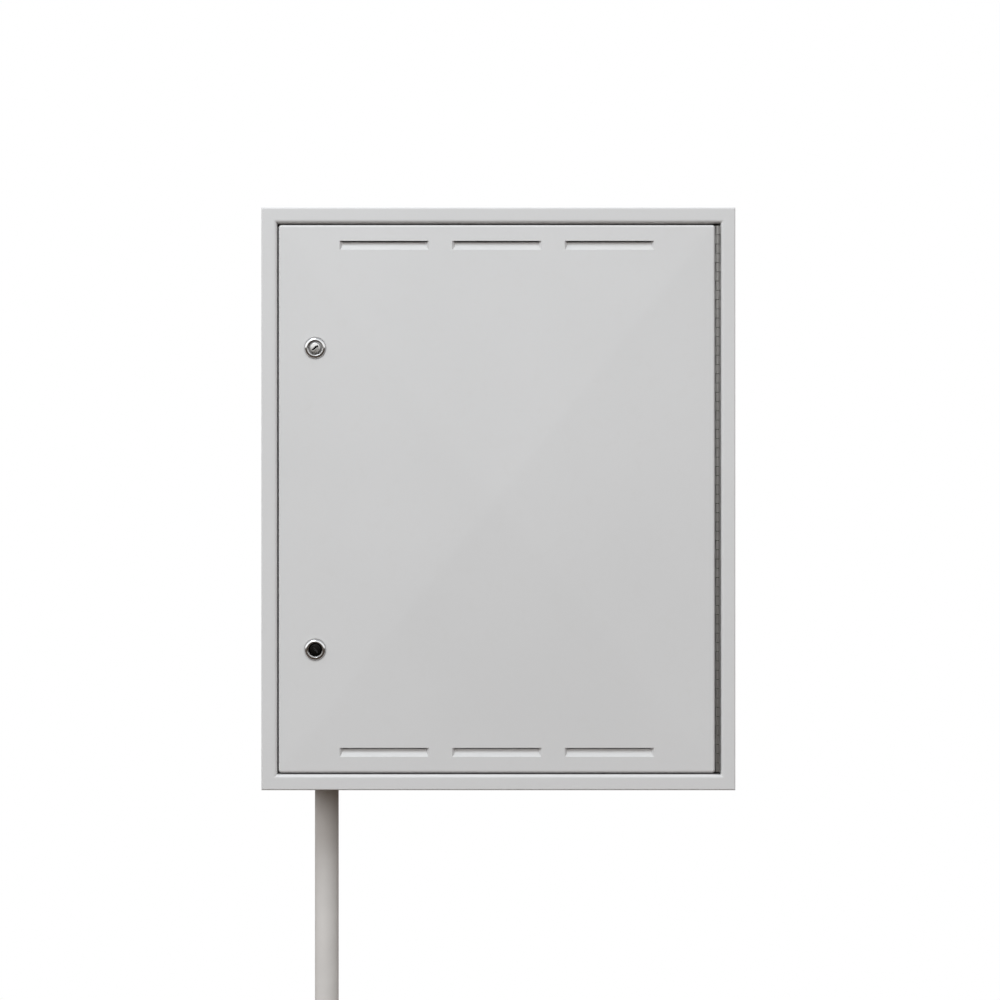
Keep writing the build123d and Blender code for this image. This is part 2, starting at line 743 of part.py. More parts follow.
with BuildPart() as mounting_plate:
    with BuildSketch(from_wall(plate_back)):
        RectangleRounded(plate_width, plate_height, plate_corner)
        with GridLocations(stud_spacing_x, stud_spacing_z, 2, 2):
            Circle(stud_radius + thread_clearance, mode=Mode.SUBTRACT)
        with Locations(*all_screw_points):
            Circle(screw_radius + thread_clearance, mode=Mode.SUBTRACT)
    extrude(amount=plate_thickness)
save(mounting_plate, "mounting_plate")

with BuildPart() as plate_studs:
    with BuildSketch(from_wall(sheet)):
        with GridLocations(stud_spacing_x, stud_spacing_z, 2, 2):
            Circle(stud_radius)
    extrude(amount=stud_length)
    chamfer(plate_studs.faces().group_by(Axis.Y)[0].edges(), stud_radius / 5)
save(plate_studs, "plate_studs")

with BuildPart() as plate_spacers:
    with BuildSketch(from_wall(sheet)):
        with GridLocations(stud_spacing_x, stud_spacing_z, 2, 2):
            Circle(spacer_radius)
            Circle(stud_radius + thread_clearance, mode=Mode.SUBTRACT)
    extrude(amount=plate_standoff)
save(plate_spacers, "plate_spacers")

with BuildPart() as plate_nuts:
    with BuildSketch(from_wall(plate_front)):
        with GridLocations(stud_spacing_x, stud_spacing_z, 2, 2):
            Circle(washer_radius)
    extrude(amount=washer_thickness)
    with BuildSketch(from_wall(plate_front)):
        with GridLocations(stud_spacing_x, stud_spacing_z, 2, 2):
            RegularPolygon(plate_nut_flats / 2, 6, major_radius=False)
    extrude(amount=washer_thickness + plate_nut_thickness)
    with BuildSketch(from_wall(plate_front)):
        with GridLocations(stud_spacing_x, stud_spacing_z, 2, 2):
            Circle(stud_radius + thread_clearance)
    extrude(amount=3 * plate_nut_thickness, mode=Mode.SUBTRACT)
save(plate_nuts, "plate_nuts")

with BuildPart() as earth_stud:
    with BuildSketch(from_wall(sheet)):
        with Locations((earth_x, earth_height)):
            Circle(earth_stud_radius)
    extrude(amount=earth_stud_length)
    chamfer(earth_stud.faces().sort_by(Axis.Y)[0].edges(), earth_stud_radius / 5)
save(earth_stud, "earth_stud")

# Two nuts with a washer between them, to clamp an earth lead.
with BuildPart() as earth_nuts:
    with BuildSketch(from_wall(sheet)):
        with Locations((earth_x, earth_height)):
            RegularPolygon(earth_nut_flats / 2, 6, major_radius=False)
    extrude(amount=2 * earth_nut_thickness + washer_thickness)
    with BuildSketch(from_wall(sheet + earth_nut_thickness)):
        with Locations((earth_x, earth_height)):
            Circle(earth_nut_flats * 0.62)
    extrude(amount=washer_thickness)
    with BuildSketch(from_wall(sheet)):
        with Locations((earth_x, earth_height)):
            Circle(earth_stud_radius + thread_clearance)
    extrude(amount=earth_stud_length, mode=Mode.SUBTRACT)
save(earth_nuts, "earth_nuts")


def plate_screws(points, grip):
    """Pan-head screws into the mounting plate, through a piece that thick."""
    seat = plate_front + grip
    with BuildPart() as screws:
        with BuildSketch(from_wall(seat)):
            with Locations(*points):
                Circle(screw_head_radius)
        extrude(amount=screw_head_height)
        fillet(screws.faces().group_by(Axis.Y)[0].edges(), screw_head_height / 2)
        with BuildSketch(from_wall(seat + screw_head_height)):
            with Locations(*points):
                Rectangle(screw_head_radius, screw_head_height / 3)
                Rectangle(screw_head_height / 3, screw_head_radius)
        extrude(amount=-screw_head_height / 2, mode=Mode.SUBTRACT)
        with BuildSketch(from_wall(seat)):
            with Locations(*points):
                Circle(screw_radius)
        extrude(amount=-(grip + plate_thickness + screw_tail))
    return screws


save(plate_screws(bracket_screw_points, sheet), "tray_bracket_screws")
save(plate_screws(shelf_screw_points, sheet), "shelf_screws")
save(plate_screws(anchor_screw_points, anchor_sheet), "anchor_screws")
save(plate_screws(spool_points, spool_base), "spool_screws")

# ================================================================ Splice trays


def tray_rod(distance, radius, length):
    """A rod along X at the trays' hinge height, that far out from the wall."""
    with BuildPart() as rod:
        with BuildSketch(Plane.YZ.offset(-length / 2)):
            with Locations((-distance, tray_hinge_height)):
                Circle(radius)
        extrude(amount=length)
    return rod


def tray_dish(back):
    """An open tray with two round mandrels that keep the fibre's bend radius."""
    with BuildPart() as dish:
        with BuildSketch(from_wall(back)):
            with Locations((0, tray_middle)):
                RectangleRounded(tray_width, tray_height, tray_corner)
        extrude(amount=tray_depth)
        with BuildSketch(from_wall(back + tray_wall)):
            with Locations((0, tray_middle)):
                RectangleRounded(
                    tray_width - 2 * tray_wall,
                    tray_height - 2 * tray_wall,
                    tray_corner - tray_wall,
                )
        extrude(amount=tray_depth, mode=Mode.SUBTRACT)
        with BuildSketch(from_wall(back + tray_wall)):
            with Locations((-mandrel_offset, tray_middle), (mandrel_offset, tray_middle)):
                Circle(mandrel_radius)
                Circle(mandrel_radius - mandrel_wall, mode=Mode.SUBTRACT)
        extrude(amount=mandrel_height)
    return dish


def splice_comb(back):
    """Soft comb in a tray's middle that grips the splice sleeves."""
    with BuildPart() as comb:
        with BuildSketch(from_wall(back + tray_wall)):
            with Locations((0, tray_middle + comb_rise)):
                Rectangle(comb_length, comb_height / 2)
        extrude(amount=comb_thickness)
        with BuildSketch(from_wall(back + tray_wall + comb_thickness)):
            with Locations((0, tray_middle + comb_rise)):
                with GridLocations(comb_pitch * 1.6, 0, comb_slots, 1):
                    Rectangle(comb_slot_width, comb_height)
        extrude(amount=-comb_slot_depth, mode=Mode.SUBTRACT)
    return comb


rear_rod_hole = tray_rod(rear_pin, tray_pin_radius + tray_pin_clearance, 2 * bracket_outside)
front_rod_hole = tray_rod(front_pin, tray_pin_radius + tray_pin_clearance, 2 * bracket_outside)

# Folded bracket on the plate: its two ears carry the rear hinge rod.
with BuildPart() as tray_bracket:
    with BuildSketch(Plane.XY.offset(tray_hinge_height - bracket_height / 2)):
        with Locations((0, -plate_front)):
            Rectangle(bracket_outside, bracket_ear_reach, align=(Align.CENTER, Align.MAX))
            Rectangle(
                bracket_inside,
                bracket_ear_reach,
                align=(Align.CENTER, Align.MAX),
                mode=Mode.SUBTRACT,
            )
            Rectangle(bracket_outside, sheet, align=(Align.CENTER, Align.MAX))
    extrude(amount=bracket_height)
    with BuildSketch(from_wall(plate_front - sheet)):
        with Locations(*bracket_screw_points):
            Circle(screw_radius + thread_clearance)
    extrude(amount=3 * sheet, mode=Mode.SUBTRACT)
    add(rear_rod_hole.part, mode=Mode.SUBTRACT)
save(tray_bracket, "tray_bracket")

# Rear tray: side lugs hang it on the bracket's rod and reach forward to hold the front rod.
with BuildPart() as rear_tray:
    add(tray_dish(rear_tray_back).part)
    for edge in (-1, 1):
        lug_plane = Plane.YZ.offset(edge * tray_width / 2 - (lug_width if edge > 0 else 0))
        with BuildSketch(lug_plane):
            with Locations((-(rear_pin + front_pin) / 2, tray_hinge_height)):
                SlotCenterToCenter(tray_front_hinge_step, 2 * lug_radius)
            with Locations((-rear_tray_back, tray_hinge_height)):
                Rectangle(tray_depth, tray_lift + tray_corner, align=(Align.MAX, Align.MIN))
        extrude(amount=lug_width)
    add(rear_rod_hole.part, mode=Mode.SUBTRACT)
    add(front_rod_hole.part, mode=Mode.SUBTRACT)
save(rear_tray, "rear_splice_tray")

# Front tray: hangs on the front rod, just inside the rear tray's lugs.
with BuildPart() as front_tray:
    add(tray_dish(front_tray_back).part)
    for edge in (-1, 1):
        lug_outside = tray_width / 2 - lug_width - lug_gap
        lug_plane = Plane.YZ.offset(edge * lug_outside - (lug_width if edge > 0 else 0))
        with BuildSketch(lug_plane):
            with Locations((-front_pin, tray_hinge_height)):
                Circle(lug_radius)
                Rectangle(2 * lug_radius, tray_lift + tray_wall, align=(Align.CENTER, Align.MIN))
        extrude(amount=lug_width)
    add(front_rod_hole.part, mode=Mode.SUBTRACT)
save(front_tray, "front_splice_tray")

save(tray_rod(rear_pin, tray_pin_radius, bracket_outside), "rear_tray_rod")
save(tray_rod(front_pin, tray_pin_radius, tray_width), "front_tray_rod")
save(splice_comb(rear_tray_back), "rear_splice_comb")
save(splice_comb(front_tray_back), "front_splice_comb")

# Clear snap-on cover over the front tray, with a lip inside the tray's wall.
with BuildPart() as tray_cover:
    with BuildSketch(from_wall(front_tray_front)):
        with Locations((0, tray_middle)):
            RectangleRounded(tray_width, tray_height, tray_corner)
    extrude(amount=cover_thickness)
    with BuildSketch(from_wall(front_tray_front)):
        with Locations((0, tray_middle)):
            RectangleRounded(
                tray_width - 2 * tray_wall - adapter_fit,
                tray_height - 2 * tray_wall - adapter_fit,
                tray_corner - tray_wall,
            )
            RectangleRounded(
                tray_width - 4 * tray_wall,
                tray_height - 4 * tray_wall,
                tray_corner - 2 * tray_wall,
                mode=Mode.SUBTRACT,
            )
    extrude(amount=-cover_lip / 2)
save(tray_cover, "tray_cover")

# ================================================================ Adapter shelf

shelf_top = shelf_height + sheet
adapter_y = -(plate_front + adapter_middle)

with BuildPart() as adapter_shelf:
    with BuildSketch(Plane.XY.offset(shelf_height)):
        with Locations((0, -plate_front)):
            Rectangle(shelf_width, shelf_reach, align=(Align.CENTER, Align.MAX))
    extrude(amount=sheet)
    with BuildSketch(from_wall(plate_front)):
        with Locations((0, shelf_height)):
            Rectangle(shelf_width, shelf_flange, align=(Align.CENTER, Align.MIN))
    extrude(amount=sheet)
    with BuildSketch(from_wall(plate_front + shelf_reach - sheet)):
        with Locations((0, shelf_top)):
            Rectangle(shelf_width, shelf_lip, align=(Align.CENTER, Align.MAX))
    extrude(amount=sheet)
    front_bend = adapter_shelf.edges().filter_by(Axis.X).group_by(Axis.Y)[0].sort_by(Axis.Z)[-1]
    rear_bend = adapter_shelf.edges().filter_by(Axis.X).group_by(Axis.Y)[-1].sort_by(Axis.Z)[0]
    fillet([front_bend, rear_bend], shelf_bend)
    with BuildSketch(Plane.XY.offset(shelf_height - sheet)):
        with Locations((0, adapter_y)):
            with GridLocations(adapter_pitch_x, adapter_pitch_y, adapter_columns, adapter_rows):
                Rectangle(adapter_body[0] + 2 * adapter_fit, adapter_body[1] + 2 * adapter_fit)
    extrude(amount=3 * sheet, mode=Mode.SUBTRACT)
    with BuildSketch(from_wall(plate_front - sheet)):
        with Locations(*shelf_screw_points):
            Circle(screw_radius + thread_clearance)
    extrude(amount=3 * sheet, mode=Mode.SUBTRACT)
save(adapter_shelf, "adapter_shelf")

body_bottom = shelf_top - adapter_body[2] / 2
body_top = shelf_top + adapter_body[2] / 2

# Adapters: each drops through the shelf and rests on its flange, with a port at each end.
with BuildPart() as fibre_adapters:
    with BuildSketch(Plane.XY.offset(body_bottom)):
        with Locations((0, adapter_y)):
            with GridLocations(adapter_pitch_x, adapter_pitch_y, adapter_columns, adapter_rows):
                Rectangle(adapter_body[0], adapter_body[1])
    extrude(amount=adapter_body[2])
    with BuildSketch(Plane.XY.offset(shelf_top)):
        with Locations((0, adapter_y)):
            with GridLocations(adapter_pitch_x, adapter_pitch_y, adapter_columns, adapter_rows):
                Rectangle(adapter_flange[0], adapter_flange[1])
    extrude(amount=adapter_flange[2])
    for port_mouth, inward in ((body_bottom, 1), (body_top, -1)):
        with BuildSketch(Plane.XY.offset(port_mouth)):
            with Locations((0, adapter_y)):
                with GridLocations(adapter_pitch_x, adapter_pitch_y, adapter_columns, adapter_rows):
                    Rectangle(adapter_port[0], adapter_port[1])
        extrude(amount=inward * adapter_port[2], mode=Mode.SUBTRACT)
save(fibre_adapters, "fibre_adapters")

# Dust caps: a head outside each port and a stem inside it.
with BuildPart() as dust_caps:
    for port_mouth, outward in ((body_bottom, -1), (body_top, 1)):
        with BuildSketch(Plane.XY.offset(port_mouth)):
            with Locations((0, adapter_y)):
                with GridLocations(adapter_pitch_x, adapter_pitch_y, adapter_columns, adapter_rows):
                    RectangleRounded(cap_head[0], cap_head[1], 1)
        extrude(amount=outward * cap_head[2])
        with BuildSketch(Plane.XY.offset(port_mouth)):
            with Locations((0, adapter_y)):
                with GridLocations(adapter_pitch_x, adapter_pitch_y, adapter_columns, adapter_rows):
                    Rectangle(adapter_port[0] - 2 * adapter_fit, adapter_port[1] - 2 * adapter_fit)
        extrude(amount=-outward * cap_stem)
save(dust_caps, "dust_caps")

# ================================================================ Slack spools and cable anchor

# Each spool is an open ring on a cross bar, with four tabs in front that hold the fibre on.
with BuildPart() as slack_spools:
    with BuildSketch(from_wall(plate_front)):
        with Locations(*spool_points):
            Circle(spool_radius)
            Circle(spool_radius - spool_wall, mode=Mode.SUBTRACT)
    extrude(amount=spool_height)
    with BuildSketch(from_wall(plate_front)):
        with Locations(*spool_points):
            Rectangle(2 * spool_radius - spool_wall, spool_tab_width)
    extrude(amount=spool_base)
    with BuildSketch(from_wall(plate_front + spool_height - spool_wall)):
        with Locations(*spool_points):
            Rectangle(2 * (spool_radius + spool_tab_reach), spool_tab_width)
            Rectangle(spool_tab_width, 2 * (spool_radius + spool_tab_reach))
            Circle(spool_radius - spool_wall, mode=Mode.SUBTRACT)
    extrude(amount=spool_wall)
    with BuildSketch(from_wall(plate_front)):
        with Locations(*spool_points):
            Circle(screw_radius + thread_clearance)
    extrude(amount=2 * spool_base, mode=Mode.SUBTRACT)
save(slack_spools, "slack_spools")

# Anchor bar: a bridge of folded steel, with slots for the ties that hold the cable's strength member.
anchor_outline = [
    (-(anchor_length / 2 + anchor_foot), 0),
    (-anchor_length / 2, 0),
    (-anchor_length / 2, anchor_rise),
    (anchor_length / 2, anchor_rise),
    (anchor_length / 2, 0),
    (anchor_length / 2 + anchor_foot, 0),
]
with BuildPart() as anchor_bar:
    with BuildLine(Plane.XY.offset(anchor_height - anchor_depth / 2)) as anchor_path:
        FilletPolyline(
            *[(anchor_middle + x, -(plate_front + anchor_sheet / 2 + rise)) for x, rise in anchor_outline],
            radius=anchor_bend,
        )
    with BuildSketch(Plane.XY.offset(anchor_height - anchor_depth / 2)):
        trace(anchor_path.wires()[0], line_width=anchor_sheet)
    extrude(amount=anchor_depth)
    with BuildSketch(from_wall(plate_front + anchor_rise - anchor_sheet)):
        with Locations((anchor_middle, anchor_height)):
            with GridLocations(anchor_slot_pitch, 0, anchor_slots, 1):
                SlotOverall(anchor_slot, anchor_slot_width, rotation=90)
    extrude(amount=4 * anchor_sheet, mode=Mode.SUBTRACT)
    with BuildSketch(from_wall(plate_front - anchor_sheet)):
        with Locations(*anchor_screw_points):
            Circle(screw_radius + thread_clearance)
    extrude(amount=4 * anchor_sheet, mode=Mode.SUBTRACT)
save(anchor_bar, "anchor_bar")
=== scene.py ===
"""The looks of a wall-mounted fibre termination box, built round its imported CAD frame."""

import json
import math

import bmesh
import bpy
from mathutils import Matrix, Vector


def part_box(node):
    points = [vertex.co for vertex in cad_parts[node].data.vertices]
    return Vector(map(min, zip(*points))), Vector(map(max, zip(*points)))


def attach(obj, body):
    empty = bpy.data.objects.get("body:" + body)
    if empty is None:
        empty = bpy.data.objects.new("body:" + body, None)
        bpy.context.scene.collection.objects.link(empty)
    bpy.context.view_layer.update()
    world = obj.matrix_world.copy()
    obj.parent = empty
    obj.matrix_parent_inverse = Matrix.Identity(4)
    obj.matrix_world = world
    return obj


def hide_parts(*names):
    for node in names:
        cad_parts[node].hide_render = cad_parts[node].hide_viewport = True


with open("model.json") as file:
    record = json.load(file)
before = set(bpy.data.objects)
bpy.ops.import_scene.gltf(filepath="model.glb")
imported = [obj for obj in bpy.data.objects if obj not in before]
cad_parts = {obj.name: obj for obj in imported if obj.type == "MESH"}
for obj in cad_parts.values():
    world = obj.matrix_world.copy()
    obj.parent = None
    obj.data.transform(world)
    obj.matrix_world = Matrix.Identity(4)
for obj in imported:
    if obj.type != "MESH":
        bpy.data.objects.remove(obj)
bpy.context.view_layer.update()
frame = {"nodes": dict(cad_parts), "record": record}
nodes = frame["nodes"]
scene = bpy.context.scene

MM = 0.001

# ---------------------------------------------------------------- Materials


EDGE_SAMPLES = 4
THREAD_RELIEF = 0.45  # depth of a shaded thread, as a share of its pitch


def shade(colour, share):
    """A colour made darker or lighter, with no channel past 1."""
    return tuple(min(1.0, channel * share) for channel in colour)


class Paint:
    """A node material being built. Its helpers add nodes and return the last one's output."""

    def __init__(self, name):
        self.material = bpy.data.materials.new(name)
        self.material.use_nodes = True
        self.tree = self.material.node_tree
        self.shader = self.tree.nodes["Principled BSDF"]
        self.place = self.node("ShaderNodeTexCoord").outputs["Object"]
        self.edges = None

    def node(self, kind, **settings):
        made = self.tree.nodes.new(kind)
        for key, value in settings.items():
            setattr(made, key, value)
        return made

    def join(self, source, target):
        self.tree.links.new(source, target)

    def stretched(self, scale):
        """The object's own coordinates, in metres, stretched along X, Y and Z."""
        mapping = self.node("ShaderNodeMapping")
        mapping.inputs["Scale"].default_value = scale
        self.join(self.place, mapping.inputs["Vector"])
        return mapping.outputs["Vector"]

    def noise(self, scale, detail=2.0, roughness=0.5, stretch=None):
        made = self.node("ShaderNodeTexNoise")
        made.inputs["Scale"].default_value = scale
        made.inputs["Detail"].default_value = detail
        made.inputs["Roughness"].default_value = roughness
        self.join(self.stretched(stretch) if stretch else self.place, made.inputs["Vector"])
        return made.outputs["Fac"]

    def cells(self, scale):
        """A cell texture's node, which has a distance and a colour for each cell."""
        made = self.node("ShaderNodeTexVoronoi")
        made.inputs["Scale"].default_value = scale
        self.join(self.place, made.inputs["Vector"])
        return made

    def ranged(self, source, low, high, from_low=0.0, from_high=1.0):
        """Carries from_low to low and from_high to high, and holds there."""
        made = self.node("ShaderNodeMapRange")
        self.join(source, made.inputs["Value"])
        made.inputs["From Min"].default_value = from_low
        made.inputs["From Max"].default_value = from_high
        made.inputs["To Min"].default_value = low
        made.inputs["To Max"].default_value = high
        return made.outputs["Result"]

    def maths(self, operation, first, second):
        made = self.node("ShaderNodeMath", operation=operation)
        for socket, value in zip(made.inputs, (first, second)):
            if isinstance(value, (int, float)):
                socket.default_value = value
            else:
                self.join(value, socket)
        return made.outputs[0]

    def blend(self, share, first, second):
        """A colour between first and second, each a colour or another node's output."""
        made = self.node("ShaderNodeMix", data_type="RGBA")
        self.join(share, made.inputs["Factor"])
        colours = [socket for socket in made.inputs if socket.type == "RGBA"]
        for socket, value in zip(colours, (first, second)):
            if isinstance(value, tuple):
                socket.default_value = (*value, 1.0)
            else:
                self.join(value, socket)
        return [socket for socket in made.outputs if socket.type == "RGBA"][0]

    def soften(self, radius):
        """Shades sharp edges as if rounded to this radius, under any later bump."""
        made = self.node("ShaderNodeBevel", samples=EDGE_SAMPLES)
        made.inputs["Radius"].default_value = radius
        self.edges = made.outputs["Normal"]

    def along(self, axis):
        """The object's own coordinate along X, Y or Z (0, 1 or 2), in metres."""
        apart = self.node("ShaderNodeSeparateXYZ")
        self.join(self.place, apart.inputs[0])
        return apart.outputs[axis]

    def rings(self, axis, pitch):
        """A screw thread's ridges, as rings across one axis."""
        return self.maths("PINGPONG", self.maths("DIVIDE", self.along(axis), pitch), 0.5)

    def radius_about(self, x, z):
        """Distance from a line that runs along Y."""
        aside = self.maths("SUBTRACT", self.along(0), x)
        above = self.maths("SUBTRACT", self.along(2), z)
        square = self.maths("ADD", self.maths("POWER", aside, 2), self.maths("POWER", above, 2))
        return self.maths("SQRT", square, 0)

    def bump(self, height, strength, depth, under=None):
        """Raises the surface by a height, over another bump or else over the softened edges."""
        made = self.node("ShaderNodeBump")
        made.inputs["Strength"].default_value = strength
        made.inputs["Distance"].default_value = depth
        self.join(height, made.inputs["Height"])
        under = under or self.edges
        if under is not None:
            self.join(under, made.inputs["Normal"])
        return made.outputs["Normal"]

    def finish(self, colour, roughness, metallic=0.0, normal=None, **sockets):
        """Sets the surface, whose other sockets are named with _ for a space."""
        for name, value in (("Base Color", colour), ("Roughness", roughness)):
            if isinstance(value, tuple):
                self.shader.inputs[name].default_value = (*value, 1.0)
            elif isinstance(value, (int, float)):
                self.shader.inputs[name].default_value = value
            else:
                self.join(value, self.shader.inputs[name])
        self.shader.inputs["Metallic"].default_value = metallic
        if normal is not None:
            self.join(normal, self.shader.inputs["Normal"])
        for name, value in sockets.items():
            self.shader.inputs[name.replace("_", " ")].default_value = value
        return self.material


def powder_coat(name, colour):
    """Satin powder coat: fine orange peel, faint cloudiness and a little settled dust."""
    paint = Paint(name)
    paint.soften(0.4 * MM)
    cloud = paint.noise(5.0, detail=3.0)
    grime = paint.noise(60.0, detail=4.0, roughness=0.65)
    clouded = paint.blend(
        paint.ranged(cloud, 0.0, 1.0, 0.35, 0.65),
        shade(colour, 0.985),
        shade(colour, 1.012),
    )
    dusty = paint.blend(
        paint.ranged(grime, 0.0, 0.10, 0.52, 0.80),
        clouded,
        (colour[0] * 0.86, colour[1] * 0.83, colour[2] * 0.78),
    )
    peel = paint.noise(620.0, detail=1.5)
    grain = paint.noise(2600.0, detail=1.0)
    rough = paint.ranged(grime, 0.36, 0.48, 0.3, 0.7)
    normal = paint.bump(peel, 0.20, 0.12 * MM)
    normal = paint.bump(grain, 0.10, 0.03 * MM, normal)
    return paint.finish(dusty, rough, normal=normal, Specular_IOR_Level=0.45)


ROLLED_SPREAD = 0.12  # between the smoothest and the roughest of the lines


def rolled_steel(name, colour, grain, roughness):
    """Metal with rolling or grinding lines, drawn out along the grain's smallest number."""
    paint = Paint(name)
    lines = paint.noise(1.0, detail=5.0, roughness=0.6, stretch=grain)
    marks = paint.noise(70.0, detail=4.0)
    tone = paint.blend(
        paint.ranged(lines, 0.0, 1.0, 0.3, 0.7),
        shade(colour, 0.90),
        shade(colour, 1.06),
    )
    stained = paint.blend(paint.ranged(marks, 0.0, 0.35, 0.5, 0.8), tone, shade(colour, 0.72))
    rough = paint.ranged(
        lines, roughness - ROLLED_SPREAD / 2, roughness + ROLLED_SPREAD / 2, 0.3, 0.7
    )
    normal = paint.bump(lines, 0.18, 0.04 * MM)
    return paint.finish(stained, rough, 1.0, normal)


def galvanised(name, colour):
    """Zinc-coated sheet with large, faint crystals."""
    paint = Paint(name)
    paint.soften(0.25 * MM)
    crystals = paint.cells(95.0)
    facets = paint.node("ShaderNodeSeparateColor")
    paint.join(crystals.outputs["Color"], facets.inputs["Color"])
    cloud = paint.noise(9.0, detail=4.0)
    grains = paint.blend(
        paint.ranged(facets.outputs[0], 0.0, 1.0),
        shade(colour, 0.93),
        shade(colour, 1.06),
    )
    tone = paint.blend(paint.ranged(cloud, 0.0, 0.3, 0.4, 0.75), grains, shade(colour, 0.86))
    rough = paint.ranged(facets.outputs[1], 0.34, 0.44)
    normal = paint.bump(paint.noise(900.0, detail=2.0), 0.12, 0.05 * MM)
    return paint.finish(tone, rough, 0.9, normal)


def plated(name, colour, roughness=0.28, thread=None):
    """Bare or plated metal on small pieces, worn a little dull. thread is an axis and a pitch."""
    paint = Paint(name)
    if thread:
        paint.edges = paint.bump(paint.rings(*thread), 1.0, THREAD_RELIEF * thread[1])
    else:
        paint.soften(0.2 * MM)
    wear = paint.noise(320.0, detail=4.0, roughness=0.6)
    tone = paint.blend(
        paint.ranged(wear, 0.0, 1.0, 0.38, 0.72),
        shade(colour, 0.82),
        shade(colour, 1.08),
    )
    rough = paint.ranged(wear, roughness - 0.07, roughness + 0.12, 0.3, 0.75)
    normal = paint.bump(paint.noise(1500.0, detail=2.0), 0.10, 0.03 * MM)
    return paint.finish(tone, rough, 1.0, normal)


def polished(name, colour, roughness=0.09):
    """Bright chrome with hairline scratches and faint smears."""
    paint = Paint(name)
    paint.soften(0.2 * MM)
    smear = paint.noise(240.0, detail=3.0)
    hair = paint.noise(1.0, detail=3.0, stretch=(5200.0, 900.0, 700.0))
    tone = paint.blend(
        paint.ranged(smear, 0.0, 1.0, 0.4, 0.7),
        shade(colour, 0.93),
        colour,
    )
    rough = paint.ranged(smear, roughness, roughness + 0.10, 0.4, 0.75)
    normal = paint.bump(hair, 0.05, 0.02 * MM)
    return paint.finish(tone, rough, 1.0, normal)


def moulded(name, colour, roughness=0.45, gloss=0.4, texture=1100.0, depth=0.04 * MM, **sockets):
    """Moulded plastic with a fine spark-eroded texture and slight unevenness of colour."""
    paint = Paint(name)
    paint.soften(0.3 * MM)
    cloud = paint.noise(28.0, detail=3.0)
    scuffs = paint.noise(260.0, detail=5.0, roughness=0.7)
    tone = paint.blend(
        paint.ranged(cloud, 0.0, 1.0, 0.35, 0.65),
        shade(colour, 0.965),
        shade(colour, 1.02),
    )
    marked = paint.blend(
        paint.ranged(scuffs, 0.0, 0.18, 0.55, 0.85),
        tone,
        tuple(c * 0.75 + 0.02 for c in colour),
    )
    rough = paint.ranged(scuffs, roughness - 0.06, roughness + 0.08, 0.3, 0.7)
    normal = paint.bump(paint.noise(texture, detail=2.0), 0.16, depth)
    return paint.finish(marked, rough, normal=normal, Specular_IOR_Level=gloss, **sockets)


def lock_core(name, node, boss, groove, keyway, roughness):
    """A lock plug: its boss in its own colour, with painted shade in the groove round it and a painted
    keyway floor, shade on the chrome plug and a highlight on the black one.
    """
    low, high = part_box(node)
    paint = Paint(name)
    paint.soften(0.15 * MM)
    wear = paint.noise(420.0, detail=3.0)
    worn = paint.blend(
        paint.ranged(wear, 0.0, 1.0, 0.4, 0.7),
        boss,
        shade(boss, 0.85),
    )
    # Deeper than the boss's front, the groove gets painted shade and the keyway floor a painted colour
    depth = paint.maths("SUBTRACT", paint.along(1), low.y)
    painted_recess_mask = paint.maths("GREATER_THAN", depth, KEYWAY_SHADE_DEPTH)
    radius = paint.radius_about((low.x + high.x) / 2, (low.z + high.z) / 2)
    groove_shade_mask = paint.maths("GREATER_THAN", radius, GROOVE_SHADE_RADIUS)
    # Painted shade in the groove; in the keyway, painted shade on the chrome plug and a painted
    # highlight on the black one
    painted_recess_colour = paint.blend(groove_shade_mask, keyway, groove)
    colour = paint.blend(painted_recess_mask, worn, painted_recess_colour)
    rough = paint.ranged(wear, roughness, roughness + 0.12, 0.4, 0.75)
    return paint.finish(colour, rough, 1.0, paint.bump(wear, 0.08, 0.03 * MM))


def foamed(name, colour):
    """Closed-cell foam: dull, with small open pits, painted darker inside as shade."""
    paint = Paint(name)
    pit_depth_and_shade = paint.cells(900.0).outputs["Distance"]
    # Darker towards the middle of each pit, as painted shade; the same pattern sets the pits' depth in
    # the bump
    tone = paint.blend(
        paint.ranged(pit_depth_and_shade, 0.0, 1.0, 0.1, 0.6),
        shade(colour, 0.5),
        shade(colour, 1.5),
    )
    normal = paint.bump(pit_depth_and_shade, 0.55, 0.3 * MM)
    return paint.finish(tone, 0.85, normal=normal, Specular_IOR_Level=0.25)


COAT = (0.712, 0.703, 0.695)
GROOVE_SHADE_RADIUS = 5.3 * MM  # from a lock's axis to the groove round its boss, which is painted darker as shade
KEYWAY_SHADE_DEPTH = 0.6 * MM  # below the front of the plug's boss; deeper parts get the painted groove and keyway colours
